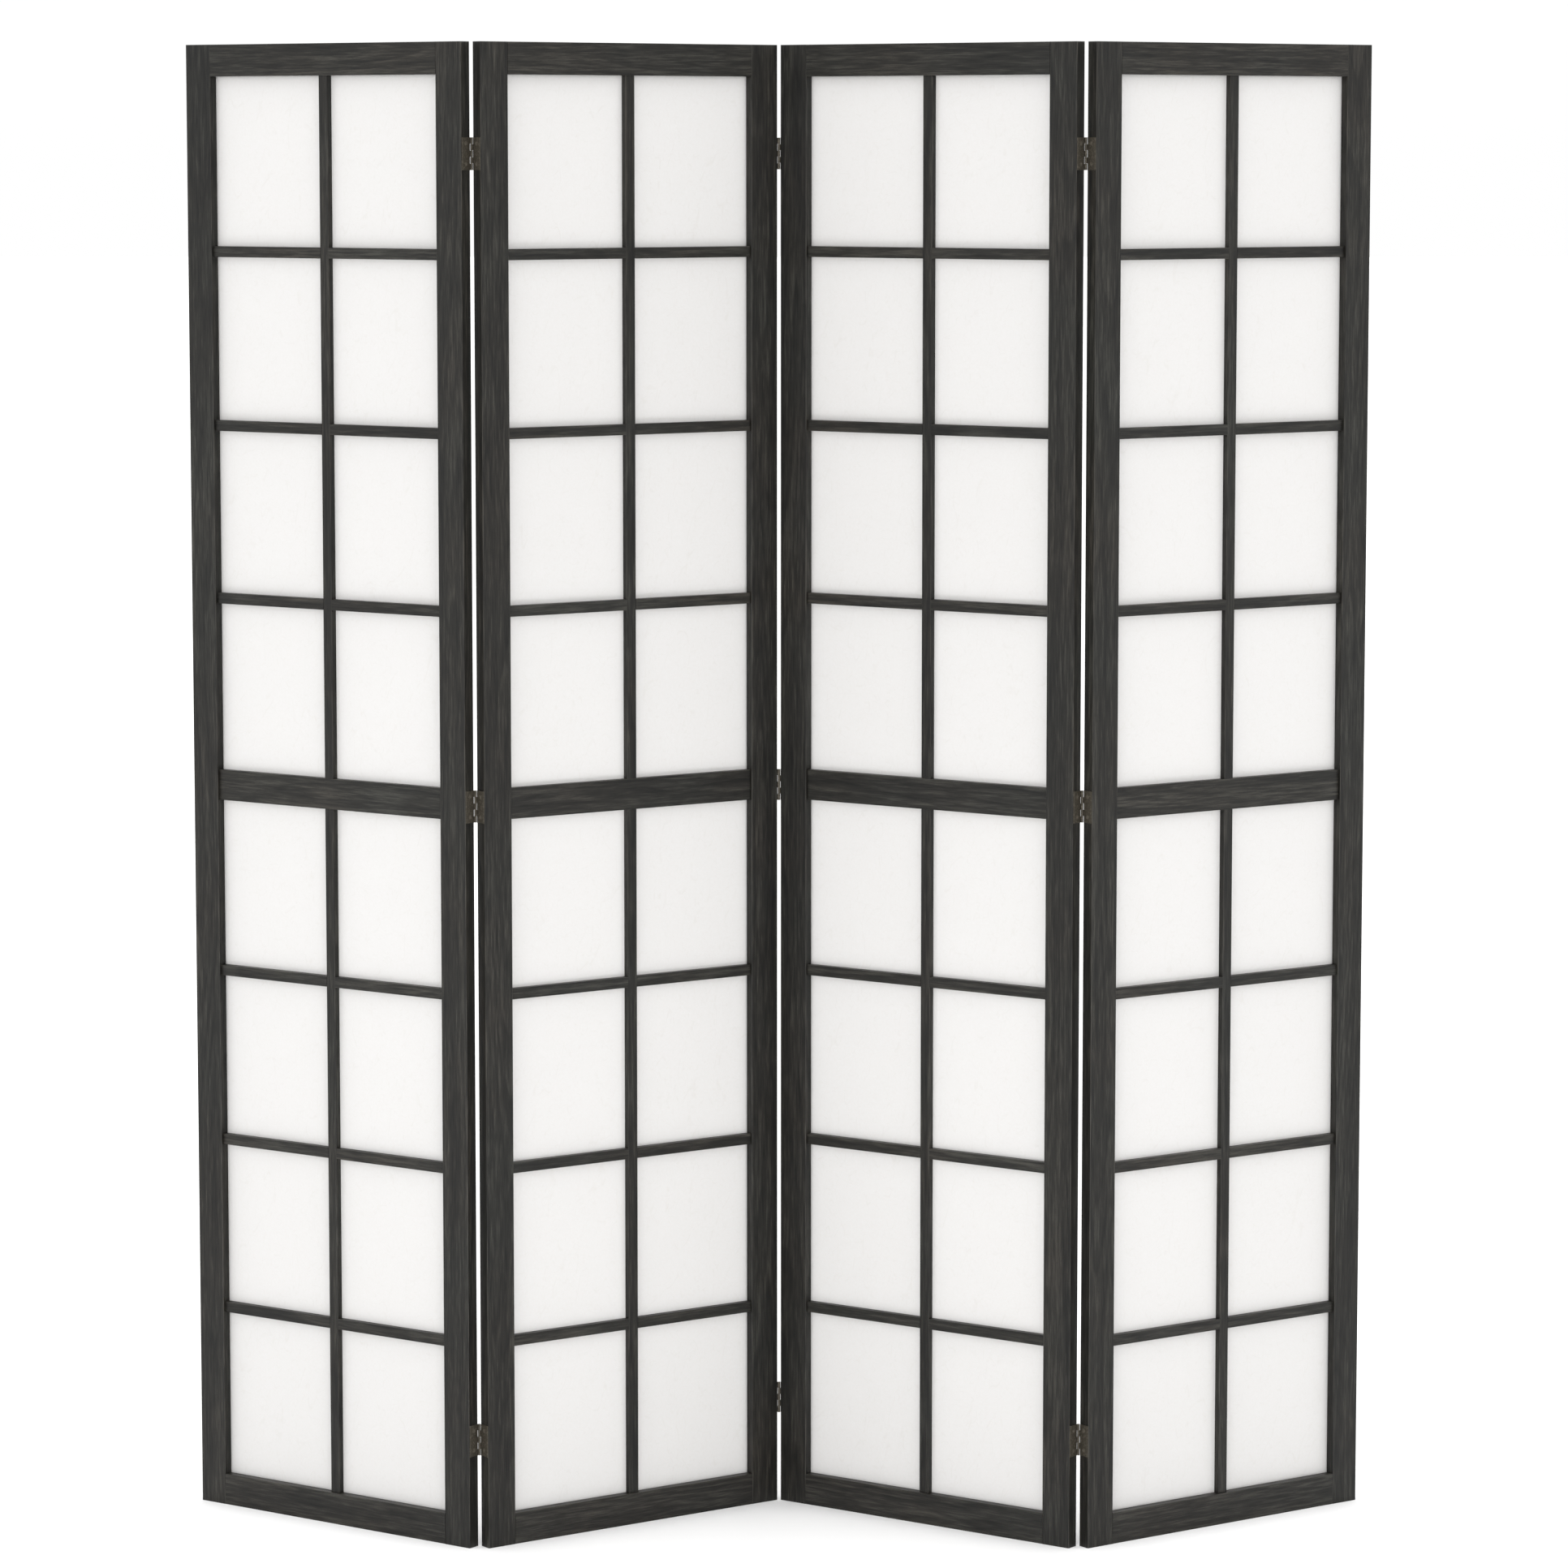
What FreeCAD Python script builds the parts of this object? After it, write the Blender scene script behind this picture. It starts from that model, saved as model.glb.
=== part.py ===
"""A four-panel shoji folding screen, standing in its zigzag.

Frame of the whole screen: X runs to the right, Y away from the viewer, Z up. The origin is on the floor, in
the middle of the zigzag. Each panel is drawn in its own frame first: X across the panel from its left edge,
Y from its front face to its back face, Z up from its foot.
"""

import FreeCAD, Part
import math
import os

import Sketcher

# Driving sizes, in millimetres and degrees.
DRIVING_SIZES = {
    # the frame of one panel
    "panel_height": 1790,
    "panel_width": 424,
    "frame_thickness": 16.5,
    "stile_width": 38,
    "rail_height": 38,
    "edge_chamfer": 0.5,
    # the lattice, which is set back from the front of the frame and eased on its front edges only
    "mid_rail_height": 37,
    "bar_width": 13,
    "bar_thickness": 7.8,
    "bar_recess": 3.5,
    "bar_chamfer": 0.3,
    # the paper and the saw groove that holds its edges
    "paper_thickness": 0.4,
    "paper_groove_width": 0.8,
    "paper_groove_depth": 6,
    "paper_edge_clearance": 1,
    # the tenons and their mortises
    "rail_tenon_length": 24,
    "rail_tenon_thickness": 5.5,
    "rail_tenon_shoulder": 6,
    "mid_rail_tenon_length": 14,
    "bar_tenon_length": 6,
    "bar_tenon_thickness": 4,
    "bar_tenon_shoulder": 2,
    "mortise_clearance": 0.1,
    "mortise_end_clearance": 1,
    "lap_clearance": 0.05,
    # the hinges
    "fold_angle": 35.5,
    "hinge_height": 38,
    "hinge_end_distance": 130,
    "hinge_middle_level": 893,
    "leaf_thickness": 0.8,
    "leaf_setback": 1,
    "pin_diameter": 1.5,
    "pin_clearance": 0.05,
    "pin_offset": 1,
    "knuckle_gap": 0.2,
    "notch_clearance": 0.4,
}

PANELS = (1, 2, 3, 4)
PANES_PER_HALF = 4
KNUCKLES_PER_HINGE = 5
BORE_SIDES = 6
ZERO = "0"
HALF_TURN = 180
FULL_TURN = 360
TOLERANCE = 1e-6

# Sizes that follow from the driving sizes, written as expressions on the sheet.
STILE_WIDTH = "Dims.stile_width"
THICKNESS = "Dims.frame_thickness"
RAIL_HEIGHT = "Dims.rail_height"
CLEAR_WIDTH = "(Dims.panel_width - 2 * Dims.stile_width)"
RIGHT_STILE_LEFT = "(Dims.panel_width - Dims.stile_width)"
TOP_RAIL_BOTTOM = "(Dims.panel_height - Dims.rail_height)"
PANE_PITCH = f"((Dims.panel_height - 2 * Dims.rail_height - Dims.mid_rail_height) / {2 * PANES_PER_HALF})"
HALF_OPENING = f"({PANES_PER_HALF} * {PANE_PITCH})"
MID_RAIL_BOTTOM = f"({RAIL_HEIGHT} + {HALF_OPENING})"
MID_RAIL_TOP = f"({MID_RAIL_BOTTOM} + Dims.mid_rail_height)"
PAPER_FRONT = "(Dims.bar_recess + Dims.bar_thickness)"
LAP_PLANE = "(Dims.bar_recess + Dims.bar_thickness / 2)"
UPRIGHT_LEFT = "((Dims.panel_width - Dims.bar_width) / 2)"

RAIL_TENON_FRONT = "((Dims.frame_thickness - Dims.rail_tenon_thickness) / 2)"
BAR_TENON_FRONT = "(Dims.bar_recess + (Dims.bar_thickness - Dims.bar_tenon_thickness) / 2)"
BAR_TENON_WIDTH = "(Dims.bar_width - 2 * Dims.bar_tenon_shoulder)"

BORE_RADIUS = "(Dims.pin_diameter / 2 + Dims.pin_clearance)"
KNUCKLE_RADIUS = f"({BORE_RADIUS} + Dims.leaf_thickness)"
KNUCKLE_HEIGHT = f"(Dims.hinge_height / {KNUCKLES_PER_HINGE})"
LEAF_REACH = "(Dims.pin_offset + Dims.frame_thickness - Dims.leaf_setback)"
LEAF_FOOT = "(-1 * Dims.hinge_height / 2)"

# The pins stand on two lines: the outer folds come towards the viewer, the centre fold goes away.
FOLD_STEP_ACROSS = (
    f"((Dims.panel_width + 2 * {KNUCKLE_RADIUS}) * cos(Dims.fold_angle)"
    " + (Dims.frame_thickness + 2 * Dims.pin_offset) * sin(Dims.fold_angle))"
)
FOLD_STEP_BACK = (
    f"((Dims.panel_width + 2 * {KNUCKLE_RADIUS}) * sin(Dims.fold_angle)"
    " - (Dims.frame_thickness + 2 * Dims.pin_offset) * cos(Dims.fold_angle))"
)
FOLDS = {
    "left_fold": {
        "across": f"(-1 * {FOLD_STEP_ACROSS})",
        "back": f"(-1 * {FOLD_STEP_BACK} / 2)",
        "panels": (1, 2),
        "pins_in_front": False,
    },
    "centre_fold": {
        "across": ZERO,
        "back": f"({FOLD_STEP_BACK} / 2)",
        "panels": (2, 3),
        "pins_in_front": True,
    },
    "right_fold": {
        "across": FOLD_STEP_ACROSS,
        "back": f"(-1 * {FOLD_STEP_BACK} / 2)",
        "panels": (3, 4),
        "pins_in_front": False,
    },
}
HINGE_LEVELS = {
    "top": "(Dims.panel_height - Dims.hinge_end_distance)",
    "middle": "Dims.hinge_middle_level",
    "bottom": "Dims.hinge_end_distance",
}

# Each axis: the origin plane whose normal lies along it, and whether that normal points the other way.
EXTRUSION_PLANES = {"X": ("YZ_Plane", False), "Y": ("XZ_Plane", True), "Z": ("XY_Plane", False)}
DIRECTIONS = {"X": FreeCAD.Vector(1, 0, 0), "Y": FreeCAD.Vector(0, 1, 0), "Z": FreeCAD.Vector(0, 0, 1)}

doc = FreeCAD.newDocument("shoji_screen")
pieces = []
cuts = []


# ---------------------------------------------------------------- the sheet of driving sizes
def make_sheet():
    sheet = doc.addObject("Spreadsheet::Sheet", "Dims")
    for row, (name, value) in enumerate(DRIVING_SIZES.items(), start=1):
        sheet.set(f"A{row}", name)
        sheet.set(f"B{row}", str(value))
        sheet.setAlias(f"B{row}", name)
    doc.recompute()
    return sheet


# ---------------------------------------------------------------- drawing helpers
def placement(across, back, up, angle):
    """A placement expression: a place, and a turn about the vertical."""
    return f"placement(vector({across}; {back}; {up}); rotation(vector(0; 0; 1); {angle}))"


def turn(axis, angle):
    """A placement expression: a turn about one axis, given as three numbers, and no move."""
    x, y, z = axis
    return f"placement(vector(0; 0; 0); rotation(vector({x}; {y}; {z}); {angle}))"


def new_piece(name, place):
    body = doc.addObject("PartDesign::Body", name)
    body.Label = name
    body.setExpression("Placement", place)
    pieces.append(body)
    return body


def new_sketch(body, name, axis, start):
    """An empty sketch on the body's own origin plane across an axis, moved along that axis to a start."""
    role, points_back = EXTRUSION_PLANES[axis]
    plane = next(item for item in body.Origin.OriginFeatures if item.Role == role)
    sketch = body.newObject("Sketcher::SketchObject", f"{body.Name}_{name}_sketch")
    sketch.AttachmentSupport = [(plane, "")]
    sketch.MapMode = "FlatFace"
    sketch.setExpression("AttachmentOffset.Base.z", f"-1 * {start}" if points_back else start)
    return sketch


def constrain(sketch, kind, references, expression):
    """Adds one dimension to a sketch and binds it to an expression."""
    value = sketch.evalExpression(expression)
    index = sketch.addConstraint(Sketcher.Constraint(kind, *references, float(value)))
    sketch.setExpression(f"Constraints[{index}]", expression)


def draw_polygon(sketch, corners):
    """Draws a closed outline through corners, each a pair of expressions from the sketch's origin."""
    points = [
        FreeCAD.Vector(*(float(sketch.evalExpression(value)) for value in corner), 0) for corner in corners
    ]
    first = sketch.GeometryCount
    count = len(points)
    for number in range(count):
        sketch.addGeometry(Part.LineSegment(points[number], points[(number + 1) % count]), False)
    for number in range(count):
        following = first + (number + 1) % count
        sketch.addConstraint(Sketcher.Constraint("Coincident", first + number, 2, following, 1))
    for number, (horizontal, vertical) in enumerate(corners):
        constrain(sketch, "DistanceX", (-1, 1, first + number, 1), horizontal)
        constrain(sketch, "DistanceY", (-1, 1, first + number, 1), vertical)


def draw_rectangle(sketch, left, bottom, width, height):
    right = f"{left} + {width}"
    top = f"{bottom} + {height}"
    draw_polygon(sketch, [(left, bottom), (right, bottom), (right, top), (left, top)])


def draw_circle(sketch, across, up, radius):
    centre = FreeCAD.Vector(float(sketch.evalExpression(across)), float(sketch.evalExpression(up)), 0)
    circle = Part.Circle(centre, DIRECTIONS["Z"], float(sketch.evalExpression(radius)))
    number = sketch.addGeometry(circle, False)
    constrain(sketch, "DistanceX", (-1, 1, number, 3), across)
    constrain(sketch, "DistanceY", (-1, 1, number, 3), up)
    constrain(sketch, "Radius", (number,), radius)


def extrude(body, kind, name, sketch, axis, length):
    """A Pad or a Pocket that runs from its sketch in the positive direction of the axis."""
    feature = body.newObject(f"PartDesign::{kind}", f"{body.Name}_{name}")
    feature.Profile = sketch
    feature.setExpression("Length", length)
    points_back = EXTRUSION_PLANES[axis][1]
    feature.Reversed = points_back if kind == "Pad" else not points_back
    if kind == "Pocket":
        cuts.append(feature)
    return feature


def extrude_boxes(body, kind, name, axis, start, length, boxes):
    """Pads or pockets some rectangles, each (left, bottom, width, height) across the axis."""
    sketch = new_sketch(body, name, axis, start)
    for box in boxes:
        draw_rectangle(sketch, *box)
    return extrude(body, kind, name, sketch, axis, length)


def ease_edges(body, base, axis, size, front_only=False):
    """Chamfers the long edges of a board, those that run along the axis: all of them, or the front ones."""
    doc.recompute()
    front = base.Shape.BoundBox.YMin
    names = []
    for number, edge in enumerate(base.Shape.Edges, start=1):
        start, end = edge.Vertexes[0].Point, edge.Vertexes[-1].Point
        along_axis = abs((end - start).normalize().dot(DIRECTIONS[axis])) > 1 - TOLERANCE
        if along_axis and not (front_only and start.y > front + TOLERANCE):
            names.append(f"Edge{number}")
    chamfer = body.newObject("PartDesign::Chamfer", f"{body.Name}_eased_edges")
    chamfer.Base = (base, names)
    chamfer.setExpression("Size", size)
    cuts.append(chamfer)


def widen(box, clearance):
    """The same rectangle, wider by a clearance on every side."""
    left, bottom, width, height = box
    return (
        f"({left} - {clearance})",
        f"({bottom} - {clearance})",
        f"({width} + 2 * {clearance})",
        f"({height} + 2 * {clearance})",
    )


# ---------------------------------------------------------------- places of the lattice
def crossbar_bottoms():
    """The lower edge of each crossbar: the bars divide each half of the opening into equal panes."""
    bottoms = []
    for half_bottom in (RAIL_HEIGHT, MID_RAIL_TOP):
        for number in range(1, PANES_PER_HALF):
            bottoms.append(f"({half_bottom} + {number} * {PANE_PITCH} - Dims.bar_width / 2)")
    return bottoms


def crossbar_sections(inset_front, inset_edge, thickness, width):
    """One rectangle across each crossbar: (front, bottom, thickness, width)."""
    return [(inset_front, f"({bottom} + {inset_edge})", thickness, width) for bottom in crossbar_bottoms()]


def rail_tenon(bottom):
    return (
        RAIL_TENON_FRONT,
        f"({bottom} + Dims.rail_tenon_shoulder)",
        "Dims.rail_tenon_thickness",
        "(Dims.rail_height - 2 * Dims.rail_tenon_shoulder)",
    )


def mid_rail_tenon():
    return (
        BAR_TENON_FRONT,
        f"({MID_RAIL_BOTTOM} + Dims.rail_tenon_shoulder)",
        "Dims.bar_tenon_thickness",
        "(Dims.mid_rail_height - 2 * Dims.rail_tenon_shoulder)",
    )


def crossbar_tenons():
    return crossbar_sections(
        BAR_TENON_FRONT, "Dims.bar_tenon_shoulder", "Dims.bar_tenon_thickness", BAR_TENON_WIDTH
    )


def upright_tenon():
    """The section of an upright's tenon, seen from above: (left, front, width, thickness)."""
    return (
        f"({UPRIGHT_LEFT} + Dims.bar_tenon_shoulder)",
        BAR_TENON_FRONT,
        BAR_TENON_WIDTH,
        "Dims.bar_tenon_thickness",
    )


# ---------------------------------------------------------------- the wooden pieces of a panel
def make_stile(name, place, left, inner_face, wood_on_right):
    """One upright of the frame, grooved for the paper and mortised for rails and bars on its inner edge."""
    body = new_piece(name, place)
    board = extrude_boxes(
        body, "Pad", "board", "Z", ZERO, "Dims.panel_height", [(left, ZERO, STILE_WIDTH, THICKNESS)]
    )
    ease_edges(body, board, "Z", "Dims.edge_chamfer")

    def cut_inner_edge(cut_name, depth, boxes):
        start = inner_face if wood_on_right else f"({inner_face} - {depth})"
        extrude_boxes(body, "Pocket", cut_name, "X", start, depth, boxes)

    groove_bottom = f"({RAIL_HEIGHT} - Dims.paper_groove_depth)"
    groove_length = f"(Dims.panel_height - 2 * {groove_bottom})"
    cut_inner_edge(
        "paper_groove",
        "Dims.paper_groove_depth",
        [(PAPER_FRONT, groove_bottom, "Dims.paper_groove_width", groove_length)],
    )
    clearance = "Dims.mortise_clearance"
    cut_inner_edge(
        "rail_mortises",
        "(Dims.rail_tenon_length + Dims.mortise_end_clearance)",
        [widen(rail_tenon(bottom), clearance) for bottom in (ZERO, TOP_RAIL_BOTTOM)],
    )
    cut_inner_edge(
        "mid_rail_mortise",
        "(Dims.mid_rail_tenon_length + Dims.mortise_end_clearance)",
        [widen(mid_rail_tenon(), clearance)],
    )
    cut_inner_edge(
        "bar_mortises",
        "(Dims.bar_tenon_length + Dims.mortise_end_clearance)",
        [widen(tenon, clearance) for tenon in crossbar_tenons()],
    )


def make_crosswise_board(name, place, sections, tenons, tenon_length, chamfer, front_only=False):
    """Boards that run from stile to stile, with a tenon at each end."""
    body = new_piece(name, place)
    board = extrude_boxes(body, "Pad", "board", "X", STILE_WIDTH, CLEAR_WIDTH, sections)
    ease_edges(body, board, "X", chamfer, front_only)
    extrude_boxes(
        body,
        "Pad",
        "tenons",
        "X",
        f"({STILE_WIDTH} - {tenon_length})",
        f"({CLEAR_WIDTH} + 2 * {tenon_length})",
        tenons,
    )
    return body


def make_end_rail(name, place, bottom, inner_face, wood_below):
    """The top or bottom rail: grooved for the paper and mortised for an upright on its inner edge."""
    body = make_crosswise_board(
        name,
        place,
        [(ZERO, bottom, THICKNESS, RAIL_HEIGHT)],
        [rail_tenon(bottom)],
        "Dims.rail_tenon_length",
        "Dims.edge_chamfer",
    )
    groove_bottom = f"({inner_face} - Dims.paper_groove_depth)" if wood_below else inner_face
    extrude_boxes(
        body,
        "Pocket",
        "paper_groove",
        "X",
        STILE_WIDTH,
        CLEAR_WIDTH,
        [(PAPER_FRONT, groove_bottom, "Dims.paper_groove_width", "Dims.paper_groove_depth")],
    )
    depth = "(Dims.bar_tenon_length + Dims.mortise_end_clearance)"
    start = f"({inner_face} - {depth})" if wood_below else inner_face
    mortise = widen(upright_tenon(), "Dims.mortise_clearance")
    extrude_boxes(body, "Pocket", "upright_mortise", "Z", start, depth, [mortise])


def make_mid_rail(name, place):
    """The wide rail at half height, as thin as the lattice, with an upright let into each edge."""
    section = ("Dims.bar_recess", MID_RAIL_BOTTOM, "Dims.bar_thickness", "Dims.mid_rail_height")
    body = make_crosswise_board(
        name,
        place,
        [section],
        [mid_rail_tenon()],
        "Dims.mid_rail_tenon_length",
        "Dims.bar_chamfer",
        front_only=True,
    )
    depth = "(Dims.bar_tenon_length + Dims.mortise_end_clearance)"
    mortise = widen(upright_tenon(), "Dims.mortise_clearance")
    extrude_boxes(body, "Pocket", "lower_mortise", "Z", MID_RAIL_BOTTOM, depth, [mortise])
    extrude_boxes(body, "Pocket", "upper_mortise", "Z", f"({MID_RAIL_TOP} - {depth})", depth, [mortise])


def make_crossbars(name, place):
    """Six crossbars: at the middle of each, the front half is cut away for the upright."""
    body = make_crosswise_board(
        name,
        place,
        crossbar_sections("Dims.bar_recess", ZERO, "Dims.bar_thickness", "Dims.bar_width"),
        crossbar_tenons(),
        "Dims.bar_tenon_length",
        "Dims.bar_chamfer",
        front_only=True,
    )
    laps = [
        (
            f"({UPRIGHT_LEFT} - Dims.lap_clearance)",
            bottom,
            "(Dims.bar_width + 2 * Dims.lap_clearance)",
            "Dims.bar_width",
        )
        for bottom in crossbar_bottoms()
    ]
    extrude_boxes(body, "Pocket", "laps", "Y", "Dims.bar_recess", "(Dims.bar_thickness / 2)", laps)


def make_uprights(name, place):
    """Two uprights, lower and upper: at each crossing, the rear half is cut away for the crossbar."""
    body = new_piece(name, place)
    section = (UPRIGHT_LEFT, "Dims.bar_recess", "Dims.bar_width", "Dims.bar_thickness")
    for half, foot in (("lower", RAIL_HEIGHT), ("upper", MID_RAIL_TOP)):
        extrude_boxes(body, "Pad", f"{half}_bar", "Z", foot, HALF_OPENING, [section])
    ease_edges(body, body.Tip, "Z", "Dims.bar_chamfer", front_only=True)
    for half, foot in (("lower", RAIL_HEIGHT), ("upper", MID_RAIL_TOP)):
        extrude_boxes(
            body,
            "Pad",
            f"{half}_tenons",
            "Z",
            f"({foot} - Dims.bar_tenon_length)",
            f"({HALF_OPENING} + 2 * Dims.bar_tenon_length)",
            [upright_tenon()],
        )
    laps = [
        (
            UPRIGHT_LEFT,
            f"({bottom} - Dims.lap_clearance)",
            "Dims.bar_width",
            "(Dims.bar_width + 2 * Dims.lap_clearance)",
        )
        for bottom in crossbar_bottoms()
    ]
    extrude_boxes(body, "Pocket", "laps", "Y", LAP_PLANE, "(Dims.bar_thickness / 2)", laps)


def make_paper(name, place):
    """The sheet of paper: flat against the back of the lattice, its edges in the grooves of the frame."""
    body = new_piece(name, place)
    hold = "(Dims.paper_groove_depth - Dims.paper_edge_clearance)"
    sheet_box = (
        f"({STILE_WIDTH} - {hold})",
        f"({RAIL_HEIGHT} - {hold})",
        f"({CLEAR_WIDTH} + 2 * {hold})",
        f"(Dims.panel_height - 2 * {RAIL_HEIGHT} + 2 * {hold})",
    )
    extrude_boxes(body, "Pad", "sheet", "Y", PAPER_FRONT, "Dims.paper_thickness", [sheet_box])


# ---------------------------------------------------------------- the hinges
def bore_corners():
    """The corners of a knuckle's bore, a regular polygon whose flats clear the round pin."""
    turn_per_side = FULL_TURN / BORE_SIDES
    corner_radius = f"({BORE_RADIUS} / cos({turn_per_side / 2}))"
    corners = []
    for number in range(BORE_SIDES):
        angle = (number + 1 / 2) * turn_per_side
        corners.append((f"{corner_radius} * cos({angle})", f"{corner_radius} * sin({angle})"))
    return corners


def draw_leaf_profile(sketch):
    """The leaf seen end on: a flat plate whose end rolls round the pin, at the sketch's origin."""
    radius = float(sketch.evalExpression(KNUCKLE_RADIUS))
    inner = float(sketch.evalExpression(BORE_RADIUS))
    reach = float(sketch.evalExpression(LEAF_REACH))
    origin = FreeCAD.Vector(0, 0, 0)
    roll_end = FreeCAD.Vector(-inner, -math.sqrt(radius**2 - inner**2), 0)
    plate_end = FreeCAD.Vector(-radius, -reach, 0)
    plate_end_inside = FreeCAD.Vector(-inner, -reach, 0)
    start_angle = math.atan2(roll_end.y, roll_end.x)
    roll = sketch.addGeometry(
        Part.ArcOfCircle(Part.Circle(origin, DIRECTIONS["Z"], radius), start_angle, math.pi), False
    )
    outside = sketch.addGeometry(Part.LineSegment(FreeCAD.Vector(-radius, 0, 0), plate_end), False)
    end = sketch.addGeometry(Part.LineSegment(plate_end, plate_end_inside), False)
    inside = sketch.addGeometry(Part.LineSegment(plate_end_inside, roll_end), False)
    for kind, references in (
        ("Coincident", (roll, 3, -1, 1)),
        ("Coincident", (roll, 2, outside, 1)),
        ("Coincident", (outside, 2, end, 1)),
        ("Coincident", (end, 2, inside, 1)),
        ("Coincident", (inside, 2, roll, 1)),
        ("PointOnObject", (roll, 2, -1)),
        ("Vertical", (outside,)),
        ("Horizontal", (end,)),
        ("Vertical", (inside,)),
    ):
        sketch.addConstraint(Sketcher.Constraint(kind, *references))
    constrain(sketch, "Radius", (roll,), KNUCKLE_RADIUS)
    constrain(sketch, "DistanceX", (end, 1, end, 2), "Dims.leaf_thickness")
    constrain(sketch, "DistanceY", (outside, 2, outside, 1), LEAF_REACH)
    draw_polygon(sketch, bore_corners())


def make_leaf(name, place, missing_knuckles):
    """One hinge leaf, with a notch in place of each knuckle that belongs to the other leaf."""
    body = new_piece(name, place)
    profile = new_sketch(body, "plate_and_knuckles", "Z", LEAF_FOOT)
    draw_leaf_profile(profile)
    extrude(body, "Pad", "plate_and_knuckles", profile, "Z", "Dims.hinge_height")
    notch_reach = f"({KNUCKLE_RADIUS} + Dims.notch_clearance)"
    notches = [
        (
            f"(-1 * {notch_reach})",
            f"({LEAF_FOOT} + {number} * {KNUCKLE_HEIGHT} - Dims.knuckle_gap / 2)",
            f"(2 * {notch_reach})",
            f"({KNUCKLE_HEIGHT} + Dims.knuckle_gap)",
        )
        for number in missing_knuckles
    ]
    extrude_boxes(body, "Pocket", "notches", "Y", f"(-1 * {notch_reach})", f"(2 * {notch_reach})", notches)


def make_pins(name, place):
    """The three pins of one fold, one above another."""
    body = new_piece(name, place)
    for level_name, level in HINGE_LEVELS.items():
        sketch = new_sketch(body, f"{level_name}_pin", "Z", f"({level} - Dims.hinge_height / 2)")
        draw_circle(sketch, ZERO, ZERO, "(Dims.pin_diameter / 2)")
        extrude(body, "Pad", f"{level_name}_pin", sketch, "Z", "Dims.hinge_height")


# ---------------------------------------------------------------- the whole screen
def fold_place(fold, up, angle):
    return placement(FOLDS[fold]["across"], FOLDS[fold]["back"], up, angle)


def panel_angle(number):
    """Odd panels run towards the viewer from left to right, even panels away."""
    return "(-1 * Dims.fold_angle)" if number % 2 else "Dims.fold_angle"


def panel_place(number):
    """Each panel hangs on the pins of a fold beside it: behind its back face, or before its front face."""
    to_right_fold = f"(-1 * (Dims.panel_width + {KNUCKLE_RADIUS}))"
    behind = f"(-1 * ({THICKNESS} + Dims.pin_offset))"
    fold, across, back = {
        1: ("left_fold", to_right_fold, behind),
        2: ("centre_fold", to_right_fold, "Dims.pin_offset"),
        3: ("centre_fold", KNUCKLE_RADIUS, "Dims.pin_offset"),
        4: ("right_fold", KNUCKLE_RADIUS, behind),
    }[number]
    corner = placement(across, back, ZERO, ZERO)
    return f"{fold_place(fold, ZERO, panel_angle(number))} * {corner}"


def make_panel(number):
    place = panel_place(number)
    prefix = f"panel_{number}"
    make_stile(f"{prefix}_stile_left", place, ZERO, STILE_WIDTH, False)
    make_stile(f"{prefix}_stile_right", place, RIGHT_STILE_LEFT, RIGHT_STILE_LEFT, True)
    make_end_rail(f"{prefix}_rail_bottom", place, ZERO, RAIL_HEIGHT, True)
    make_mid_rail(f"{prefix}_rail_middle", place)
    make_end_rail(f"{prefix}_rail_top", place, TOP_RAIL_BOTTOM, TOP_RAIL_BOTTOM, False)
    make_uprights(f"{prefix}_lattice_uprights", place)
    make_crossbars(f"{prefix}_lattice_crossbars", place)
    make_paper(f"{prefix}_paper", place)


def make_fold(fold):
    """The hinges of one fold, whose left leaves have the even knuckles and whose right leaves have the odd.

    A leaf is drawn with its plate at the right end of a panel and its pin behind; a turn brings it to the
    left end, or brings its pin to the front.
    """
    left_panel, right_panel = FOLDS[fold]["panels"]
    if FOLDS[fold]["pins_in_front"]:
        left_turn = turn((1, 0, 0), HALF_TURN)
        right_turn = turn((0, 0, 1), HALF_TURN)
    else:
        left_turn = turn((0, 0, 1), 0)
        right_turn = turn((0, 1, 0), HALF_TURN)
    for level_name, level in HINGE_LEVELS.items():
        hinge = f"{fold}_{level_name}_hinge"
        left_place = f"{fold_place(fold, level, panel_angle(left_panel))} * {left_turn}"
        right_place = f"{fold_place(fold, level, panel_angle(right_panel))} * {right_turn}"
        make_leaf(f"{hinge}_left_leaf", left_place, range(1, KNUCKLES_PER_HINGE, 2))
        make_leaf(f"{hinge}_right_leaf", right_place, range(0, KNUCKLES_PER_HINGE, 2))
    make_pins(f"{fold}_hinge_pins", fold_place(fold, ZERO, ZERO))


def check_and_export():
    doc.recompute()
    for item in doc.Objects:
        if "Invalid" in item.State or "Error" in item.State:
            raise RuntimeError(f"{item.Name} did not build: {item.State}")
    for cut in cuts:
        if not cut.Shape.Volume < cut.BaseFeature.Shape.Volume:
            raise RuntimeError(f"{cut.Name} cuts nothing")
    for body in pieces:
        if body.Shape.isNull() or not body.Shape.isValid():
            raise RuntimeError(f"{body.Label} has no valid shape")
    os.makedirs("parts", exist_ok=True)
    for body in pieces:
        body.Shape.exportStep(f"parts/{body.Label}.step")
    print(f"{len(pieces)} nodes, {sum(len(body.Shape.Solids) for body in pieces)} solids")


make_sheet()
for panel_number in PANELS:
    make_panel(panel_number)
for fold_name in FOLDS:
    make_fold(fold_name)
check_and_export()
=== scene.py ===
# %% [markdown]
# # A shoji folding screen of four panels
#
# The screen stands in a zigzag, and nine small hinges join its panels. The wooden frames, the lattice and the
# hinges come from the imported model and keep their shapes. This lesson gives each of them its finish,
# stretches a real sheet of paper behind each lattice, drives the screws, and lights the whole thing like a
# catalogue picture.
#
# Everything is in metres. X runs to the right, Y away from the viewer, Z up, and the floor is at zero.

import math

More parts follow.
